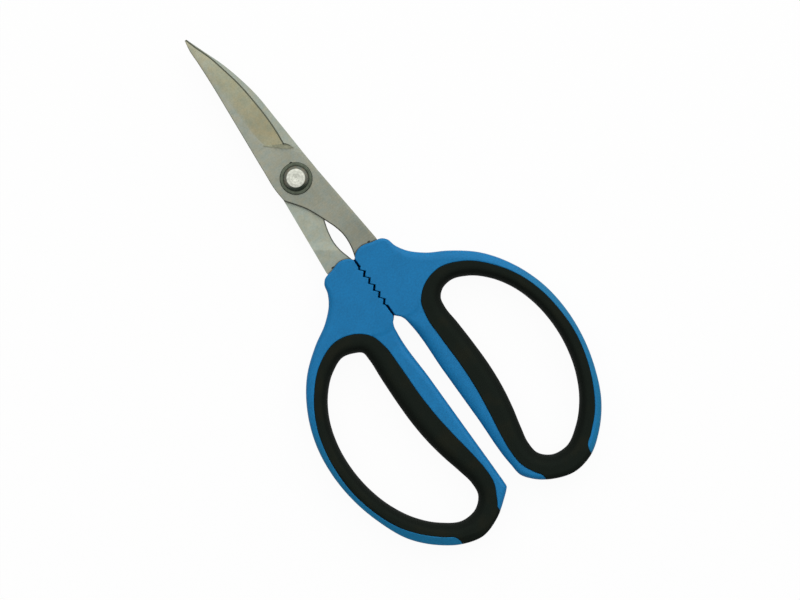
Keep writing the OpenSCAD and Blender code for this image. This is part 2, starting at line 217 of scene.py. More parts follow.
# Where a hollow grind is widest, and the places of its mesh's rows between the ridge and the edge
GRIND_WIDEST = 30
GRIND_ROWS = (0, 0.03, 0.07, 0.12, 0.2, 0.32, 0.5, 0.65, 0.8, 0.92)
# Slope of a tang's chamfer, the fade beside a honed strip, the strip's share of the edge's thickness,
# and the thickness left at the very edge
CHAMFER_SLOPE = 0.07
HONED_FADE = 0.05
HONED_SHARE = 0.75
KEENEST = 0.08
# Half the gap between the blades' inner faces
BLADE_RELIEF = 0.05
# Radii of the rivet's shank, the blades' bore and the washers' hole, and the washers' thickness
SHANK = 3
BORE = 3.05
WASHER_HOLE = 3.2
WASHER_THICKNESS = 0.8
# Degrees between two faces from which moulded, ground and turned pieces have a crisp edge
MOULDED_EDGE = 35
GROUND_EDGE = 12
TURNED_EDGE = 40


class ShearsSizes(bpy.types.PropertyGroup):
    pivot: FloatVectorProperty(
        name="Pivot",
        description="Middle of the rivet, on the plane where the blades meet",
        size=3,
        subtype="XYZ",
        unit="LENGTH",
        default=frame["joints"][0]["pos_m"],
    )
    handle_thickness: FloatProperty(
        name="Handle thickness",
        description="Thickness of the moulded handles",
        unit="LENGTH",
        default=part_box("right_handle")[1].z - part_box("right_handle")[0].z,
    )
    seam_round: FloatProperty(
        name="Seam rounding",
        description="Rounding of the two edges that meet at the seam of hard frame and soft lining",
        unit="LENGTH",
        default=0.0003,
    )
    arm_drop: FloatProperty(
        name="Arm drop",
        description="Drop of an arm's faces below the pad that holds the tang",
        unit="LENGTH",
        default=0.0003,
    )
    blade_thickness: FloatProperty(
        name="Blade thickness",
        description="Thickness of each blade",
        unit="LENGTH",
        default=0.0025,
    )
    edge_thickness: FloatProperty(
        name="Edge thickness",
        description="Thickness left where the hollow grind meets the honed edge",
        unit="LENGTH",
        default=0.0004,
    )
    honed_width: FloatProperty(
        name="Honed edge",
        description="Width of the steep honed strip along a cutting edge",
        unit="LENGTH",
        default=0.0005,
    )
    tang_chamfer: FloatProperty(
        name="Tang chamfer",
        description="Width of the chamfer along the outer edge of a tang",
        unit="LENGTH",
        default=0.0008,
    )
    washer: FloatProperty(
        name="Washer diameter",
        description="Outer diameter of the washers",
        unit="LENGTH",
        default=0.0119,
    )


class ShearsFinish(bpy.types.PropertyGroup):
    blue: FloatVectorProperty(
        name="Blue plastic",
        description="Colour of the hard handle frames",
        subtype="COLOR",
        default=(0.0052, 0.174, 0.415),
    )
    black: FloatVectorProperty(
        name="Black lining",
        description="Colour of the soft linings",
        subtype="COLOR",
        default=(0.0092, 0.0122, 0.0098),
    )
    steel: FloatVectorProperty(
        name="Steel",
        description="Colour of the blades' satin faces",
        subtype="COLOR",
        default=(0.317, 0.328, 0.269),
    )
    # The hollow-ground bevels' warm tan is a painted reflection of warm surroundings
    ground: FloatVectorProperty(
        name="Ground steel",
        description="Colour of the hollow-ground bevels",
        subtype="COLOR",
        default=(0.229, 0.214, 0.139),
    )
    rivet: FloatVectorProperty(
        name="Rivet",
        description="Colour of the bright rivet head",
        subtype="COLOR",
        default=(0.69, 0.71, 0.65),
    )
    washer: FloatVectorProperty(
        name="Washer",
        description="Colour of the darkened washers",
        subtype="COLOR",
        default=(0.09, 0.106, 0.078),
    )


class ShearsStage(bpy.types.PropertyGroup):
    camera_height: FloatProperty(
        name="Camera height",
        description="Height of the camera above the middle of the handles",
        unit="LENGTH",
        default=1.2,
    )
    picture_width: FloatProperty(
        name="Picture width",
        description="Width that the picture covers at the middle of the handles",
        unit="LENGTH",
        default=0.292,
    )
    turn: FloatProperty(
        name="Turn",
        description="How far the picture is turned about the vertical",
        subtype="ANGLE",
        default=math.radians(-35.65),
    )
    ambient: FloatProperty(
        name="Ambient light",
        description="Brightness of the grey ceiling and room",
        default=0.6,
    )
    lean: FloatProperty(
        name="Lean",
        description="How much brighter the room is on the window's side than on the other",
        default=0.6,
    )
    key: FloatProperty(
        name="Key lamp",
        description="Power of the soft lamp above the blades",
        unit="POWER",
        default=14.3,
    )
    side: FloatProperty(
        name="Side lamp",
        description="Power of the low soft lamp on the window's side",
        unit="POWER",
        default=5.4,
    )


class Wire:
    """An output of a shader node, on which Python's operators add Math nodes."""

    def __init__(self, tree, socket=None):
        self.tree = tree
        self.socket = socket

    def node(self, kind, settings=None, inputs=None, output=0):
        """Adds a node of a kind with its settings, fills or links its inputs, and gives one output."""
        made = self.tree.nodes.new(kind)
        for name, value in (settings or {}).items():
            setattr(made, name, value)
        for name, value in (inputs or {}).items():
            socket = made.inputs[name]
            if isinstance(value, Wire):
                self.tree.links.new(value.socket, socket)
            elif socket.type == "RGBA" and len(value) == 3:
                socket.default_value = (*value, 1)
            else:
                socket.default_value = value
        return Wire(self.tree, made.outputs[output] if made.outputs else None)

    def maths(self, operation, first, second=0.0, clamp=False):
        """A Math node on one value or two."""
        settings = {"operation": operation, "use_clamp": clamp}
        return self.node("ShaderNodeMath", settings, {0: first, 1: second})

    def __add__(self, other):
        return self.maths("ADD", self, other)

    __radd__ = __add__

    def __sub__(self, other):
        return self.maths("SUBTRACT", self, other)

    def __rsub__(self, other):
        return self.maths("SUBTRACT", other, self)

    def __mul__(self, other):
        return self.maths("MULTIPLY", self, other)

    __rmul__ = __mul__

    def mix(self, method, factor, first, second):
        """Two colours mixed. A Mix node's colours are its inputs 6 and 7 and its output 2."""
        settings = {"data_type": "RGBA", "blend_type": method, "clamp_factor": True}
        return self.node("ShaderNodeMix", settings, {0: factor, 6: first, 7: second}, 2)

    def blend(self, start, end):
        """A colour that goes from start to end with this value."""
        return self.mix("MIX", self, start, end)

    def times(self, colour):
        """This colour multiplied by another."""
        return self.mix("MULTIPLY", 1.0, self, colour)

    def part(self, axis):
        """One of the three values of a vector."""
        return self.node("ShaderNodeSeparateXYZ", None, {"Vector": self}, axis)

    def rise(self, low, high):
        """0 below low, 1 above high and smooth between them."""
        settings = {"interpolation_type": "SMOOTHSTEP"}
        inputs = {"Value": self, "From Min": low, "From Max": high}
        return self.node("ShaderNodeMapRange", settings, inputs)

    def scaled(self, scale, turn=0.0):
        """These coordinates scaled along each axis and then turned about the vertical."""
        inputs = {"Vector": self, "Rotation": (0, 0, turn), "Scale": scale}
        return self.node("ShaderNodeMapping", {"vector_type": "POINT"}, inputs)

    def noise(self, scale, detail=2.0, roughness=0.5):
        """Cloudy values from 0 to 1 at these coordinates."""
        inputs = {"Vector": self, "Scale": scale, "Detail": detail, "Roughness": roughness}
        return self.node("ShaderNodeTexNoise", None, inputs)

    def bump(self, strength, distance):
        """A surface direction disturbed by this height."""
        inputs = {"Height": self, "Strength": strength, "Distance": distance}
        return self.node("ShaderNodeBump", None, inputs)


def blank_material(name):
    """A material with an empty node tree, and the wire that its first nodes come from."""
    material = bpy.data.materials.new(name)
    material.use_nodes = True
    material.node_tree.nodes.clear()
    return material, Wire(material.node_tree)


def new_material(name):
    """The first wire of a material, its coordinates in millimetres and a function that closes it."""
    material, start = blank_material(name)
    place = start.node("ShaderNodeTexCoord", output="Object")
    inputs = {"Vector": place, "Scale": 1 / MM}
    millimetres = start.node("ShaderNodeVectorMath", {"operation": "SCALE"}, inputs)

    def close(**sockets):
        inputs = {socket.replace("_", " "): value for socket, value in sockets.items()}
        surface = start.node("ShaderNodeBsdfPrincipled", None, inputs)
        start.node("ShaderNodeOutputMaterial", None, {"Surface": surface})
        return material

    return start, millimetres, close


def shade(colour, *factors):
    """A colour with its three values multiplied by one factor or by three."""
    return tuple(c * f for c, f in zip(colour, factors * 3 if len(factors) == 1 else factors))


def upright(start):
    """How far a face looks up or down, from 0 on a wall to 1 on a flat face."""
    return start.maths("ABSOLUTE", start.node("ShaderNodeTexCoord", output="Normal").part("Z"))


def blue_plastic(finish):
    """Hard plastic with a fine moulded grain, and a painted whitish sheen that greys the sloping outer
    rims of the loops.
    """
    start, place, close = new_material("blue_plastic")
    grain = place.noise(1.6, 3, 0.6)
    cloud = place.noise(0.2, 3)
    tint = (grain - 0.5) * 1.9 + (cloud - 0.5) * 0.7 + 0.5
    # Painted sheen: sloping faces of the loops' outer rims, below the pads and away from the middle,
    # are tinted greyer as if reflecting white
    aside = start.maths("ABSOLUTE", place.part("X"))
    low = 1 - place.part("Y").rise(-45, -25)
    rim = aside.rise(14, 24) * low * (1 - upright(start).rise(0.9, 0.99))
    colour = tint.blend(shade(finish.blue, 0.86), shade(finish.blue, 1.14))
    return close(
        Base_Color=rim.blend((1, 1, 1), (1.4, 0.97, 0.85)).times(colour),
        Roughness=0.46 + 0.14 * grain,
        Specular_IOR_Level=0.2,
        Normal=grain.bump(0.12, 0.00006),
    )


def black_lining(finish):
    """Soft satin lining with a fine grain, paler on its flat faces by painted sheen and in cloudy warm
    and cool patches.
    """
    start, place, close = new_material("black_lining")
    grain = place.noise(3.4, 2, 0.5)
    cloud = place.noise(0.12, 2)
    # Painted sheen: faces that look up are paler than sloping ones, and cloudy patches of paler tone
    # add to it at random
    sheen_and_patches = upright(start).rise(0.75, 1) * 0.7 + (cloud * 0.7 + grain * 0.3 - 0.5) * 1.1
    cool, warm = shade(finish.black, 1.22, 1.3, 1.24), shade(finish.black, 1.6, 1.38, 1.18)
    sheen_and_patch_colour = cloud.rise(0.45, 0.7).blend(cool, warm)
    return close(
        Base_Color=sheen_and_patches.blend(shade(finish.black, 0.95), sheen_and_patch_colour),
        Roughness=0.5 + 0.16 * cloud + 0.08 * grain,
        Specular_IOR_Level=0.02,
        Normal=grain.bump(0.1, 0.00005),
    )


def blade_steel(finish):
    """Satin steel with fine marks across it, a hollow grind with a painted warm reflection and a honed
    edge painted dark.
    """
    start, place, close = new_material("blade_steel")
    grind, honed, inner, reach, painted_contact_shadow, cut, heel = (
        start.node("ShaderNodeAttribute", {"attribute_name": name}, output="Fac")
        for name in ("grind", "honed", "inner", "reach", "painted_contact_shadow", "cut", "heel")
    )
    brushed = place.scaled((0.22, 5, 1), math.radians(24)).noise(1, 3, 0.6)
    crossed = place.scaled((0.5, 7, 1), math.radians(4)).noise(1, 3, 0.6)
    cloud = place.noise(0.16, 4, 0.7)
    blasted = place.noise(1.4, 3, 0.7)
    marks = (brushed + (crossed - brushed) * grind) * 0.4 + blasted * 0.6
    tone = (cloud * 0.4 + marks * 0.6).rise(0.32, 0.68).blend((0.83, 0.86, 0.86), (1.16, 1.13, 1.12))

    # Flat faces: the outer ones darker towards the tang, the inner ones pale with a slanting streak
    dull = reach.rise(-28, -21).blend(shade(finish.steel, 0.77), shade(finish.steel, 0.87))
    outer = reach.rise(-8, 14).blend(dull, shade(finish.steel, 0.94))
    slant = place.part("Y") + place.part("X") * 0.72
    pale = shade(finish.steel, 1.12, 1.16, 1.18)
    streak = slant.rise(8.2, 8.9).blend(shade(pale, 0.92), shade(pale, 1.1))
    streak = slant.rise(11.4, 13).blend(streak, pale)
    face = inner.blend(outer, reach.rise(6, 14).blend(streak, shade(pale, 0.93)))

    # Painted reflection: the grind warm, paler towards the tip. Painted dark: the honed edge and
    # contact shadows
    bevel = reach.rise(18, 42).blend(finish.ground, shade(finish.ground, 0.96, 1.02, 1.08))
    bevel = reach.rise(42, 60).blend(bevel, shade(finish.ground, 1.18, 1.25, 1.43))
    tint = place.noise(0.4, 3, 0.6).rise(0.35, 0.65).blend((1.025, 0.995, 0.955), (0.955, 1.005, 1.05))
    colour = grind.blend(face, bevel).times(tone).times(tint)
    # Painted shade: the heel's ramp is a little darker and cooler than the grind around it
    colour = heel.blend(colour, shade(finish.ground, 0.9, 0.98, 1.06))
    # Painted dark reflection on the honed edge, and painted shade in the crease at the ramp's foot
    colour = honed.blend(colour, (0.06, 0.064, 0.046))
    # A speck where each tang enters its handle
    aside = (start.maths("ABSOLUTE", place.part("X")) - 8.1) * 0.5
    above = place.part("Y") - 6.6
    speck = 1 - (aside * aside + above * above).rise(0.03, 0.15)
    # Painted contact shadow, mottled, and the speck darken the steel
    colour = (painted_contact_shadow * (blasted + 0.3) + speck).blend(colour, (0.045, 0.049, 0.041))
    return close(
        Base_Color=cut.blend(colour, (0.105, 0.098, 0.075)),
        Metallic=1.0,
        Roughness=0.28 + 0.12 * marks + 0.06 * grind,
        Normal=marks.bump(0.1, 0.00002),
    )


def from_axis(place, pivot):
    """Coordinates across the pivot's axis, and their distance from it."""
    axis = tuple(c / MM for c in pivot)
    offset = place.node("ShaderNodeVectorMath", {"operation": "SUBTRACT"}, {0: place, 1: axis})
    flat = place.node("ShaderNodeVectorMath", {"operation": "MULTIPLY"}, {0: offset, 1: (1, 1, 0)})
    return flat, place.node("ShaderNodeVectorMath", {"operation": "LENGTH"}, {0: flat}, "Value")


def rivet_steel(finish, pivot):
    """Bright turned head with fine rings and smears; its conical side has painted dark reflection and
    shadow.
    """
    start, place, close = new_material("rivet_steel")
    flat, radius = from_axis(place, pivot)
    smears = place.noise(0.8, 3, 0.6)
    rings = start.maths("SINE", radius * 6 + smears * 5) * 0.5 + 0.5
    side = radius.rise(3.3, 3.45)
    worn = (rings * 0.16 + smears * 0.84).rise(0.28, 0.72)
    top = worn.blend(shade(finish.rivet, 0.78, 0.78, 0.74), shade(finish.rivet, 1.14, 1.13, 1.09))
    # Painted shadow: the cone is darkest on its side towards -Y and a little -X
    painted_shadow_side = (flat.part("X") * 0.44 + flat.part("Y") * 0.9).rise(-3.6, -1.6)
    # Painted reflection: the cone's grey and brown in smeared patches, far darker than the top
    grey, brown = shade(finish.rivet, 0.23, 0.25, 0.23), shade(finish.rivet, 0.32, 0.275, 0.215)
    smeared = smears.rise(0.4, 0.65).blend(grey, brown)
    cone = painted_shadow_side.blend(shade(finish.rivet, 0.05, 0.075, 0.053), smeared)
    return close(
        Base_Color=side.blend(top, cone),
        Metallic=0.4 - 0.1 * side,
        Roughness=0.42 + 0.12 * rings,
        Normal=(rings * 0.3 + smears).bump(0.3, 0.0001),
    )


def washer_steel(finish, pivot):
    """Dark oxidised steel with rubbed patches, and painted shade along its rim and under the head."""
    _, place, close = new_material("washer_steel")
    _, radius = from_axis(place, pivot)
    # Painted shade: darker under the head's edge, inside 4.6 to 5 mm, and along the rim, past 5.6 to
    # 5.9 mm
    ring = radius.rise(4.6, 5) * (1 - radius.rise(5.6, 5.9))
    patches = place.noise(0.8, 3)
    grain = place.noise(5, 2)
    rubbed = (patches * 0.7 + grain * 0.3).rise(0.3, 0.75)
    face = rubbed.blend(shade(finish.washer, 0.85), shade(finish.washer, 1.6))
    return close(
        Base_Color=ring.blend(shade(finish.washer, 0.35), face),
        Metallic=0.9,
        Roughness=0.36 + 0.2 * patches,
        Normal=grain.bump(0.1, 0.00003),
    )


def span(a, b):
    """Distance between two points that may have further values."""
    return math.dist(a[:2], b[:2])


def heading(a, b, c):
    """Direction of a smooth line at b on its way from a to c."""
    before, after = span(a, b), span(b, c)
    return ((b - a) * (after / before) + (c - b) * (before / after)) / (before + after)


def smooth_line(knots, gap=0.8, closed=False):
    """Points about gap apart on a smooth line through knots of any number of values."""
    knots = np.asarray(knots, float)
    count = len(knots)
    points = []
    for i in range(count if closed else count - 1):
        start, end = knots[i], knots[(i + 1) % count]
        reach = span(start, end)
        leave = arrive = end - start
        if closed or i > 0:
            leave = heading(knots[i - 1], start, end) * reach
        if closed or i < count - 2:
            arrive = heading(start, end, knots[(i + 2) % count]) * reach
        steps = max(2, math.ceil(reach / gap))
        for t in np.arange(steps) / steps:
            points.append(
                start * (2 * t**3 - 3 * t**2 + 1)
                + leave * (t**3 - 2 * t**2 + t)
                + end * (3 * t**2 - 2 * t**3)
                + arrive * (t**3 - t**2)
            )
    if not closed:
        points.append(knots[-1])
    return np.array(points)


def leftward(line, closed=True):
    """Direction to the left of a line at each of its points, long enough to keep its sides parallel."""
    flat = line[:, :2]
    ahead = np.roll(flat, -1, 0) - flat
    if not closed:
        ahead[-1] = ahead[-2]
    ahead /= np.linalg.norm(ahead, axis=1)[:, None]
    left = np.stack([-ahead[:, 1], ahead[:, 0]], 1)
    before = np.roll(left, 1, 0)
    if not closed:
        before[0] = left[0]
    return (before + left) / (1 + (before * left).sum(1))[:, None]


def beside(line, distance, closed=True):
    """The line moved to its left by a distance, or by one for each point."""
    distance = np.broadcast_to(distance, len(line))
    return line[:, :2] + distance[:, None] * leftward(line, closed)


def nearest(places, line, closed=True):
    """Each place's distance from a line, and the line's further values at the nearest point."""
    start = line if closed else line[:-1]
    end = np.roll(line, -1, 0) if closed else line[1:]
    run = end[:, :2] - start[:, :2]
    size = np.maximum((run**2).sum(1), 1e-12)
    gaps, values = [], []
    batch = 400
    for at in range(0, len(places), batch):
        part = places[at : at + batch, None]
        along = np.clip(((part - start[:, :2]) * run).sum(2) / size, 0, 1)
        apart = np.linalg.norm(part - start[:, :2] - along[..., None] * run, axis=2)
        best = apart.argmin(1)
        row = np.arange(len(best))
        share = along[row, best][:, None]
        gaps.append(apart[row, best])
        values.append(start[best, 2:] * (1 - share) + end[best, 2:] * share)
    return np.concatenate(gaps), np.concatenate(values)


def inside(places, loop):
    """Whether each place lies inside a closed loop."""
    x, y = places[:, 0, None], places[:, 1, None]
    a, b = loop[:, :2], np.roll(loop[:, :2], -1, 0)
    crossed = (a[:, 1] > y) != (b[:, 1] > y)
    with np.errstate(divide="ignore", invalid="ignore"):
        at = a[:, 0] + (y - a[:, 1]) * (b[:, 0] - a[:, 0]) / (b[:, 1] - a[:, 1])
        return (crossed & (x < at)).sum(1) % 2 == 1


def triangulate(closed_lines, open_lines):
    """Points and triangles of a flat sheet in which every line is a row of edges."""
    merged, sliver = 0.002, 1e-9
    points, edges = [], []
    for line, closed in [(n, 1) for n in closed_lines] + [(n, 0) for n in open_lines]:
        first, count = len(points), len(line)
        points.extend(Vector((p[0], p[1])) for p in line)
        edges.extend((first + i, first + (i + 1) % count) for i in range(count - 1 + closed))
    points, _, faces, *_ = delaunay_2d_cdt(points, edges, [], 0, merged)
    points = np.array([p[:] for p in points])
    faces = np.array([f[:] for f in faces])
    a, b, c = (points[faces[:, k]] for k in range(3))
    turn = np.cross(b - a, c - a)
    faces[turn < 0] = faces[turn < 0][:, ::-1]
    return points, faces[np.abs(turn) > sliver]


def rounding(gap, width, height, bevel=0):
    """Drop of a face near an edge that is shaped over a width and a height, partly as a flat bevel.

    The more of the height the bevel takes, the narrower is the rounding at its foot.
    """
    slope = 1 - np.clip(gap / width, 0, 1)
    curve = 1 - np.clip(gap / (width * (1 - 0.6 * bevel)), 0, 1)
    return bevel * slope + (height - bevel) * (1 - np.sqrt(1 - curve**2))


def new_piece(name, points, faces, sharp, material, body, node):
    """Makes an object in metres from points in millimetres, smooth up to an angle between faces."""
    mesh = bpy.data.meshes.new(name)
    mesh.from_pydata((np.asarray(points) * MM).tolist(), [], [list(map(int, f)) for f in faces])
    if mesh.validate():
        raise RuntimeError(f"{name} has faulty faces")
    mesh.shade_smooth()
    mesh.set_sharp_from_angle(angle=math.radians(sharp))
    mesh.materials.append(material)
    piece = bpy.data.objects.new(name, mesh)
    bpy.context.scene.collection.objects.link(piece)
    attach(piece, body)
    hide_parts(node)
    return piece


def in_model(points, rear, pivot):
    """Own-side points about the pivot as points of the whole model; the rear half is turned over."""
    side = np.array((-1, 1, -1) if rear else (1, 1, 1))
    return points * side + np.array(pivot) / MM


def slab(places, faces, top, bottom, lean=None):
    """A closed solid on a flat sheet from its faces' heights, and the sheet's points that it uses.

    Where lean is given, the walls bulge by it near mid thickness.
    """
    used = np.unique(faces)
    place = np.full(len(places), -1)
    place[used] = np.arange(len(used))
    upper = place[faces]
    count = len(used)
    lower = upper[:, ::-1] + count
    pairs = np.concatenate([upper[:, [0, 1]], upper[:, [1, 2]], upper[:, [2, 0]]])
    there = {(a, b) for a, b in pairs.tolist()}
    rims = sorted((a, b) for a, b in there if (b, a) not in there)
    flat = places[used]
    points = [np.column_stack([flat, top[used]]), np.column_stack([flat, bottom[used]])]
    if lean is None:
        walls = [(a + count, b + count, b, a) for a, b in rims]
    else:
        edge = sorted({a for a, _ in rims})
        belt = {a: 2 * count + i for i, a in enumerate(edge)}
        level = (top[used] + bottom[used])[edge] / 2 + EDGE_LIFT
        points.append(np.column_stack([flat[edge] + lean[used][edge], level]))
        walls = [(a + count, b + count, belt[b], belt[a]) for a, b in rims]
        walls += [(belt[a], belt[b], b, a) for a, b in rims]
    return np.concatenate(points), [*upper.tolist(), *lower.tolist(), *walls], used


def closing_face(hand):
    """Face of a handle from nose to crotch with its teeth, and its lean towards the other one."""
    first_y, first_is_tip = TEETH[hand]
    middle_y = sum(start for start, _ in TEETH.values()) / 2
    face, crisp, step = FACE_GAP / 2, 0.25, TOOTH_PITCH / 2
    ends = [(side * TOOTH_DEPTH + TOOTH_GAP) / 2 for side in ((-1, 1) if first_is_tip else (1, -1))]
    lead = abs(ends[0] - face) / TOOTH_DEPTH * step
    corners = [(face, first_y + lead, 0, middle_y + step / 2)]
    for i in range(2 * TOOTH_COUNT + 1):
        x = ends[i % 2]
        corners.append((x, first_y - i * step, x - TOOTH_GAP / 2, middle_y - i * step))
    _, last_y, _, touch_y = corners[-1]
    corners.append((face, last_y - lead, 0, touch_y - step / 2))
    lean = [(touch_x - EDGE_LAP / 2 - x, touch_y - y) for x, y, touch_x, touch_y in corners]
    return np.array([(x, y, crisp, crisp, 0, *way) for (x, y, _, _), way in zip(corners, lean)])


def loop_edge(hand):
    """Whole outer edge of a handle with the values of its shaping and its lean."""
    knots = OUTER_EDGE if hand == "right" else OUTER_EDGE[:3] + LEFT_END + OUTER_EDGE[13:]
    edge = smooth_line(knots)
    x, y = edge[:, :2].T
    if hand == "left":
        low = np.interp(y, (-105, -80), (1, 0)) * np.interp(x, (15, 25), (0, 1))
        edge[:, [2, 4]] *= 1 + (LEFT_BEVEL - 1) * low[:, None]
    # The lean of the closing face fades out round the crotch and round the nose
    fade = [OUTER_EDGE[i][1] for i in (2, 0, -1, -2)]
    lean = -(EDGE_LAP + FACE_GAP) / 2 * np.interp(y, fade, (0, 1, 1, 0))
    edge = np.column_stack([edge, lean * (x < 1.5), 0 * x])
    edge = np.concatenate([edge, closing_face(hand)])
    edge[:, :2] = beside(edge, WALL_INSET * np.interp(edge[:, 2], (0.3, 2), (0, 1)))
    return edge


def loop_sheet(hand, sizes):
    """One loop's flat sheet: points, hard and soft triangles, their heights, and the rim's lean."""
    half = sizes.handle_thickness / 2 / MM
    seam_round = sizes.seam_round / MM
    outer = loop_edge(hand)
    knots = FINGER_HOLE if hand == "right" else FINGER_HOLE[:1] + LEFT_HOLE_CORNER + FINGER_HOLE[3:]
    hole = smooth_line(knots, closed=True)
    hole = np.column_stack([hole, np.full(len(hole), 0.9 * half)])
    knots = SEAM if hand == "right" else LEFT_OUTER_TAIL + SEAM[4:-3] + LEFT_INNER_TAIL
    seam = smooth_line(knots, 0.7)
    seam = np.concatenate([[(knots[0][0], OUTSIDE_Y)], seam, [(knots[-1][0], OUTSIDE_Y)]])

    # Lines along which the faces bend: both rounded edges, the seam and the end of the pad
    turns = 1 - np.cos(np.linspace(0, np.pi / 2, 8))
    rings = [beside(outer, outer[:, 2] * t) for t in turns]
    rings.append(beside(outer, outer[:, 2] + 0.25))
    rings.extend(beside(hole, -hole[:, 2] * t) for t in turns)
    rings.append(beside(hole, -hole[:, 2] - 0.3))
    shares = (0, 0.06, 0.25, 0.55, 1, 1.7)
    seams = [beside(seam, side * s * seam_round, False) for s in shares for side in (-1, 1)][1:]
    swing = np.radians(np.linspace(190, 330, 40))
    swing = np.column_stack([np.cos(swing), np.sin(swing)])
    falls = [np.array(PAD_CENTRE) + (PAD_RADIUS + more) * swing for more in np.linspace(*PAD_FALL, 6)]
    places, faces = triangulate(rings, seams + falls)
    middle = places[faces].mean(1)
    kept = inside(middle, outer) & ~inside(middle, hole)
    faces, middle = faces[kept], middle[kept]
    soft = inside(middle, seam)

    gap, shape = nearest(places, outer)
    drop = rounding(gap, *shape[:, :3].T)
    lean = shape[:, 3:] * (gap < 0.01)[:, None]
    gap, shape = nearest(places, hole)
    drop = drop + rounding(gap, *shape.T)
    gap, _ = nearest(places, seam, False)
    drop = np.minimum(drop + rounding(gap, seam_round, seam_round), half - THINNEST)
    from_pad = np.linalg.norm(places - PAD_CENTRE, axis=1) - PAD_RADIUS
    fall = np.interp(from_pad, PAD_FALL, (0, 1))
    on_arm = (places[:, 0] < ARM_START[0]) & (places[:, 1] < ARM_START[1])
    lower = on_arm * sizes.arm_drop / MM * fall**2 * (3 - 2 * fall)
    hard_top = np.maximum(half - drop - lower, THINNEST)
    return places, faces[~soft], faces[soft], hard_top, half - drop, lean


class SHEARS_OT_handles(bpy.types.Operator):
    """Adds the two hard handle frames with their gripping teeth"""

    bl_idname = "shears.handles"
    bl_label = "Handles"

    def execute(self, context):
        sizes, material = context.scene.shears_sizes, blue_plastic(context.scene.shears_finish)
        for _, hand, rear, body in HALVES:
            places, hard, _, top, _, lean = loop_sheet(hand, sizes)
            points, faces, _ = slab(places, hard, top, -top, lean)
            points = in_model(points, rear, sizes.pivot)
            node = f"{hand}_handle"
            new_piece(
                f"{node}_frame", points, faces, MOULDED_EDGE, material, body, node
            )
        return {"FINISHED"}


class SHEARS_OT_linings(bpy.types.Operator):
    """Adds the two soft linings of the finger loops"""

    bl_idname = "shears.linings"
    bl_label = "Linings"

    def execute(self, context):
        sizes, material = context.scene.shears_sizes, black_lining(context.scene.shears_finish)
        for _, hand, rear, body in HALVES:
            places, _, soft, _, top, _ = loop_sheet(hand, sizes)
            points, faces, _ = slab(places, soft, top, -top)
            points = in_model(points, rear, sizes.pivot)
            node = f"{hand}_grip"
            new_piece(
                f"{node}_lining", points, faces, MOULDED_EDGE, material, body, node
            )
        return {"FINISHED"}


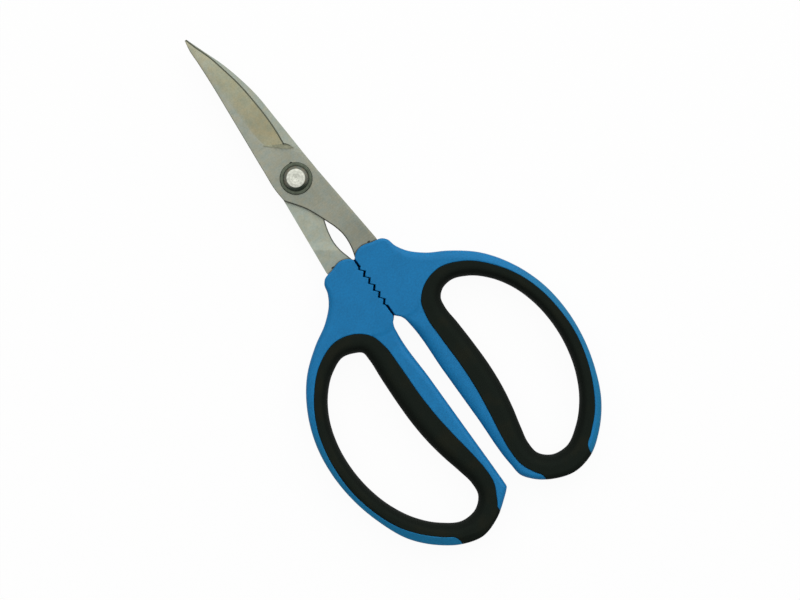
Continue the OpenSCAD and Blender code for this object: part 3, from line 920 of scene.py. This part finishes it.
def blade_sheet(shape, sizes):
    """One blade's flat sheet: points, triangles, its outer face's drop, its finishes and painted shade.
    """
    chamfer = sizes.tang_chamfer / MM
    honed_width = sizes.honed_width / MM
    edge_thickness = sizes.edge_thickness / MM
    depth = sizes.blade_thickness / MM - edge_thickness
    fine = 0.5

    def stretch(knots, width, height, gap=0.8):
        """A part of the outline with the width and the height of its chamfer."""
        line = smooth_line(knots, gap)[:-1]
        return np.column_stack([line, np.full(len(line), width), np.full(len(line), height)])

    def across(line, height):
        """Where a line that climbs the blade lies at a height."""
        return np.interp(height, line[:, 1], line[:, 0])

    outline = np.concatenate(
        [
            stretch(shape["spine"], 0.25, 0.1),
            stretch(shape["crossing"], 0.3, 0.1),
            *[stretch(TANG[i : i + 2], 0.2, 0.08, 2) for i in range(len(TANG) - 1)],
            stretch(OUTER_TANG, chamfer, CHAMFER_SLOPE * chamfer),
            stretch(shape["back"], chamfer, CHAMFER_SLOPE * chamfer),
            stretch(shape["choil"], 0.1, 0.04, fine),
            stretch(shape["edge"], 0.04, 0.01, fine),
            stretch([shape["edge"][-1], shape["spine"][0]], 0.04, 0.01),
        ]
    )

    # Lines along which the outer face bends, its finish changes or its painted shadow fades
    edge, ridge, heel, ramp = (
        smooth_line(shape[part], fine) for part in ("edge", "ridge", "heel", "ramp")
    )
    lip = np.concatenate([smooth_line(shape["choil"], fine)[:-1], edge])
    up = np.arange(9.5, 64.6, 0.6)
    near, far = across(ridge, up), across(lip, up)
    rows = [np.column_stack([near + s * (far - near), up]) for s in GRIND_ROWS]
    rows.append(np.column_stack([near - 0.3, up]))
    honing = [beside(edge, width, False) for width in (honed_width, honed_width + HONED_FADE)]
    around = np.radians(np.arange(0, 360, 5))
    bore = BORE * np.column_stack([np.cos(around), np.sin(around)])
    rims = [beside(outline, outline[:, 2] + more) for more in (0, 0.25)]
    nose = smooth_line(NOSE)
    contact_shadow_lines = [beside(nose, -width, False) for width in (0, 0.2, 0.5)]
    places, faces = triangulate([outline, *rims, bore], [*rows, *honing, *contact_shadow_lines, heel, ramp])
    middle = places[faces].mean(1)
    faces = faces[inside(middle, outline) & ~inside(middle, bore)]

    # How far each place lies from the ridge to the lip, and up the ramp to the heel
    x, y = places.T
    near, far = across(ridge, y), across(lip, y)
    share = np.clip((x - near) / np.maximum(far - near, 0.05), 0, 1)
    foot, top = np.interp(x, *ramp.T), np.interp(x, *heel.T)
    climb = np.clip((y - foot) / np.maximum(top - foot, 0.02), 0, 1)
    gap, shaping = nearest(places, outline)
    drop = shaping[:, 1] * np.clip(1 - gap / shaping[:, 0], 0, 1)
    # Past its widest place the grind narrows, and the whole blade thins towards the tip
    widest = across(lip, GRIND_WIDEST) - across(ridge, GRIND_WIDEST)
    thin = np.where(y > GRIND_WIDEST, np.clip((far - near) / widest, 0.12, 1), 1)
    # The hollow starts at the ridge, more softly the nearer the tip
    ease = np.interp(y, (18, 30, 45), (0.08, 0.28, 0.38))
    hollow = (1 + ease) * share**2 / (share + ease) * climb * thin + 1 - thin
    to_edge, _ = nearest(places, edge, False)
    honed = np.clip((honed_width + HONED_FADE - to_edge) / HONED_FADE, 0, 1)
    steep = np.clip(1 - to_edge / honed_width, 0, 1) * HONED_SHARE * edge_thickness

    # Painted contact shadow along the handle's nose, the crossing edge and the notch
    crossing, notch = smooth_line(shape["crossing"]), smooth_line(shape["choil"][1:], fine)
    from_ramp, from_nose, from_crossing, from_notch = (
        nearest(places, line, False)[0] for line in (ramp, nose, crossing, notch)
    )
    painted_contact_shadow = [(0.5 - from_nose) / 0.3, (0.55 - from_crossing) / 0.25, (0.5 - from_notch) / 0.4]
    finishes = {
        "grind": np.minimum(np.maximum(1 - (ease / (share + ease)) ** 3, 2 - 2 * thin), 1) * climb,
        # Dark on the honed edge as painted reflection, and half as dark at the ramp's foot as painted
        # shade
        "honed": np.maximum(honed, 0.5 * np.clip(1 - from_ramp / 0.35, 0, 1)),
        "reach": y,
        "painted_contact_shadow": np.clip(np.max(painted_contact_shadow, 0), 0, 1),
    }
    on_ramp = climb[faces].mean(1)
    finishes["heel"] = (on_ramp > 0.01) & (on_ramp < 0.99) & (share[faces].mean(1) > 0)
    return places, faces, drop + depth * hollow + steep * climb, finishes


class SHEARS_OT_blades(bpy.types.Operator):
    """Adds the two hollow-ground blades with their tangs"""

    bl_idname = "shears.blades"
    bl_label = "Blades"

    def execute(self, context):
        sizes, material = context.scene.shears_sizes, blade_steel(context.scene.shears_finish)
        for side, _, rear, body in HALVES:
            places, faces, drop, finishes = blade_sheet(BLADES[side], sizes)
            bottom = np.full(len(places), BLADE_RELIEF)
            top = bottom + np.maximum(sizes.blade_thickness / MM - drop, KEENEST)
            points, faces, used = slab(places, faces, top, bottom)
            points = in_model(points, rear, sizes.pivot)
            node = f"{side}_blade"
            piece = new_piece(
                f"{node}_steel", points, faces, GROUND_EDGE, material, body, node
            )
            # The walls are cut edges. The grind and the painted dark along the honed edge are on the
            # outer face alone.
            finishes["cut"] = np.array([len(face) == 4 for face in faces])
            finishes["heel"] = np.pad(finishes["heel"], (0, len(faces) - len(finishes["heel"])))
            for name in ("grind", "honed"):
                finishes[name] = np.concatenate([finishes[name][used], 0 * used])
            for name in ("reach", "painted_contact_shadow"):
                finishes[name] = np.tile(finishes[name][used], 2)
            finishes["inner"] = np.repeat([0, 1], len(used))
            for name, values in finishes.items():
                domain = "FACE" if len(values) == len(faces) else "POINT"
                field = piece.data.attributes.new(name, "FLOAT", domain)
                field.data.foreach_set("value", values.astype(float))
        return {"FINISHED"}


def turned(profile, reach=None, steps=96):
    """Points and faces of a (radius, height) profile turned about the vertical; reach widens it."""
    angles = 2 * np.pi * np.arange(steps) / steps
    points, rows = [], []
    for radius, height in profile:
        if radius == 0:
            rows.append([len(points)] * steps)
            points.append((0, 0, height))
            continue
        rows.append(list(range(len(points), len(points) + steps)))
        for angle in angles:
            size = radius + (reach(radius, height, angle) if reach else 0)
            points.append((size * math.cos(angle), size * math.sin(angle), height))
    faces = []
    closed = profile[0][0] != 0
    for low, high in zip(rows, rows[1:] + ([rows[0]] if closed else [])):
        for i in range(steps):
            j = (i + 1) % steps
            faces.append(list(dict.fromkeys((low[i], low[j], high[j], high[i]))))
    return np.array(points, float), [f for f in faces if len(f) > 2]


def eased(corners, radius, steps=4):
    """A profile with its inner corners rounded."""
    line = [corners[0]]
    for a, b, c in zip(corners, corners[1:], corners[2:]):
        a, b, c = (np.array(p, float) for p in (a, b, c))
        size = min(radius, span(a, b) / 2.2, span(b, c) / 2.2)
        start, end = b + (a - b) / span(a, b) * size, b + (c - b) / span(b, c) * size
        for t in np.linspace(0, 1, steps):
            line.append(tuple((1 - t) ** 2 * start + 2 * t * (1 - t) * b + t**2 * end))
    return line + [corners[-1]]


class SHEARS_OT_pivot(bpy.types.Operator):
    """Adds the rivet with its two heads and the two washers"""

    bl_idname = "shears.pivot"
    bl_label = "Pivot"

    def execute(self, context):
        sizes, finish = context.scene.shears_sizes, context.scene.shears_finish
        blade = BLADE_RELIEF + sizes.blade_thickness / MM
        low, high = -blade - WASHER_THICKNESS, blade + WASHER_THICKNESS + 0.02
        # Radius and height of the rear head's dome and flat, the shank, the front cone and its top
        wide, skirt, crown = 4.8, 0.3, 1.2
        dome = [(0, low - skirt - crown)]
        for t in np.radians(np.arange(80, -1, -10)):
            dome.append((wide * math.cos(t), low - skirt - crown * math.sin(t)))
        head = [
            (wide, low), (SHANK, low), (SHANK, high), (4.5, high), (4.5, high + 0.35),
            (3.45, high + 2.92), (2.4, high + 3), (1.3, high + 2.96), (0.7, high + 2.84),
            (0.25, high + 2.8), (0, high + 2.8),
        ]
        points, faces = turned(dome + eased(head, 0.22))
        points = in_model(points, False, sizes.pivot)
        material = rivet_steel(finish, sizes.pivot)
        new_piece(
            "rivet", points, faces, TURNED_EDGE, material, "rear_half", "pivot_rivet"
        )

        rim = sizes.washer / MM / 2
        shoulder = WASHER_THICKNESS - 0.05
        seam = (WASHER_HOLE, WASHER_THICKNESS / 2)
        profile = [
            seam, (WASHER_HOLE, 0), (rim, 0), (rim, shoulder), (rim - 0.5, WASHER_THICKNESS),
            (WASHER_HOLE, WASHER_THICKNESS), seam,
        ]
        profile = eased(profile, 0.12)[:-1]

        def nib(radius, height, angle):
            """How far the small pointed nib on the front washer's rim stands out."""
            away = abs((angle - math.radians(73) + math.pi) % (2 * math.pi) - math.pi)
            return 0.5 * max(0, 1 - away / 0.11) * (radius > rim - 0.3) * (height < shoulder)

        material = washer_steel(finish, sizes.pivot)
        for side, _, rear, body in HALVES:
            points, faces = turned(profile, None if rear else nib, 192)
            points = in_model(points + (0, 0, blade), rear, sizes.pivot)
            node = f"{side}_washer"
            new_piece(f"{node}_ring", points, faces, TURNED_EDGE, material, body, node)
        return {"FINISHED"}


def floor_white():
    """White that shows as white to the camera and in reflections, and keeps the object's shadow."""
    material, start = blank_material("floor")
    camera, glossy, through = (
        start.node("ShaderNodeLightPath", output=ray)
        for ray in ("Is Camera Ray", "Is Glossy Ray", "Is Transmission Ray")
    )
    shown = start.maths("ADD", camera + glossy, through, True)
    paper = start.node("ShaderNodeBsdfDiffuse", None, {"Color": (0.95, 0.95, 0.95)})
    glow = start.node("ShaderNodeEmission", None, {"Color": (1, 1, 1), "Strength": 1.0})
    bright = start.node("ShaderNodeMixShader", None, {0: 0.95, 1: paper, 2: glow})
    dull = start.node("ShaderNodeBsdfDiffuse", None, {"Color": (0.3, 0.3, 0.3)})
    mixed = start.node("ShaderNodeMixShader", None, {0: shown, 1: dull, 2: bright})
    start.node("ShaderNodeOutputMaterial", None, {"Surface": mixed})
    return material


class SHEARS_OT_stage(bpy.types.Operator):
    """Adds the pale floor and sweep, the soft lamps and the camera"""

    bl_idname = "shears.stage"
    bl_label = "Stage"

    def execute(self, context):
        scene, stage, sizes = context.scene, context.scene.shears_stage, context.scene.shears_sizes
        flat, bend, wall = 1.6, 0.5, 1.2
        sweep = [(0, 0), (0.4, 0), (flat, 0)]
        for t in np.radians(range(10, 91, 10)):
            sweep.append((flat + bend * math.sin(t), bend - bend * math.cos(t)))
        sweep.append((flat + bend, wall))
        points, faces = turned(sweep, steps=64)
        mesh = bpy.data.meshes.new("floor")
        mesh.from_pydata(points.tolist(), [], faces)
        mesh.shade_smooth()
        mesh.materials.append(floor_white())
        floor = bpy.data.objects.new("floor", mesh)
        scene.collection.objects.link(floor)

        world = bpy.data.worlds.new("room")
        world.use_nodes = True
        world.node_tree.nodes.clear()
        start = Wire(world.node_tree)
        direction = start.node("ShaderNodeTexCoord", output="Generated")
        window = {0: direction, 1: (0.94, 0.34, 0)}
        toward = start.node("ShaderNodeVectorMath", {"operation": "DOT_PRODUCT"}, window, "Value")
        white = (1, 1, 0.985)
        colour = (toward * 0.5 + 0.5).blend(shade(white, 1 - stage.lean), shade(white, 1 + stage.lean))
        room = start.node("ShaderNodeBackground", None, {"Color": colour, "Strength": stage.ambient})
        start.node("ShaderNodeOutputWorld", None, {"Surface": room})
        scene.world = world

        middle = Vector((0.00498, -0.01732, sizes.pivot[2]))
        distance = 1.3
        # Each lamp's compass direction, its height in degrees and its size
        lamps = (
            ("key", stage.key, (0.3, 0.95), 45, 2.4),
            ("side", stage.side, (0.98, 0.17), 22, 1.0),
        )
        for name, power, (x, y), height, size in lamps:
            light = bpy.data.lights.new(name, "AREA")
            light.energy = power
            light.size = size
            lamp = bpy.data.objects.new(name, light)
            level = math.cos(math.radians(height))
            away = Vector((x * level, y * level, math.sin(math.radians(height)))).normalized()
            lamp.location = middle + away * distance
            lamp.rotation_mode = "QUATERNION"
            lamp.rotation_quaternion = away.to_track_quat("Z", "Y")
            lamp.visible_camera = False
            scene.collection.objects.link(lamp)

        camera = bpy.data.cameras.new("camera")
        camera.lens = camera.sensor_width * stage.camera_height / stage.picture_width
        view = bpy.data.objects.new("camera", camera)
        view.location = middle + Vector((0, 0, stage.camera_height))
        view.rotation_euler = (0, 0, stage.turn)
        scene.collection.objects.link(view)
        scene.camera = view
        scene.view_settings.view_transform = "Standard"
        return {"FINISHED"}


OPERATORS = [SHEARS_OT_blades, SHEARS_OT_handles, SHEARS_OT_linings, SHEARS_OT_pivot, SHEARS_OT_stage]


class SHEARS_PT_panel(bpy.types.Panel):
    """Lists the pieces of the shears and their sizes and finishes"""

    bl_idname = "SHEARS_PT_panel"
    bl_label = "Poultry shears"
    bl_space_type = "VIEW_3D"
    bl_region_type = "UI"
    bl_category = "Shears"

    def draw(self, context):
        scene = context.scene
        for group in (scene.shears_sizes, scene.shears_finish, scene.shears_stage):
            box = self.layout.box()
            for name in group.__annotations__:
                box.prop(group, name)
        for operator in OPERATORS:
            self.layout.operator(operator.bl_idname)


CLASSES = [ShearsSizes, ShearsFinish, ShearsStage, *OPERATORS, SHEARS_PT_panel]


def register():
    for cls in CLASSES:
        bpy.utils.register_class(cls)
    bpy.types.Scene.shears_sizes = PointerProperty(type=ShearsSizes)
    bpy.types.Scene.shears_finish = PointerProperty(type=ShearsFinish)
    bpy.types.Scene.shears_stage = PointerProperty(type=ShearsStage)


def unregister():
    del bpy.types.Scene.shears_sizes, bpy.types.Scene.shears_finish, bpy.types.Scene.shears_stage
    for cls in reversed(CLASSES):
        bpy.utils.unregister_class(cls)


def main():
    register()
    bpy.ops.shears.blades()
    bpy.ops.shears.handles()
    bpy.ops.shears.linings()
    bpy.ops.shears.pivot()
    bpy.ops.shears.stage()
    bpy.context.view_layer.update()


if __name__ == "__main__":
    main()
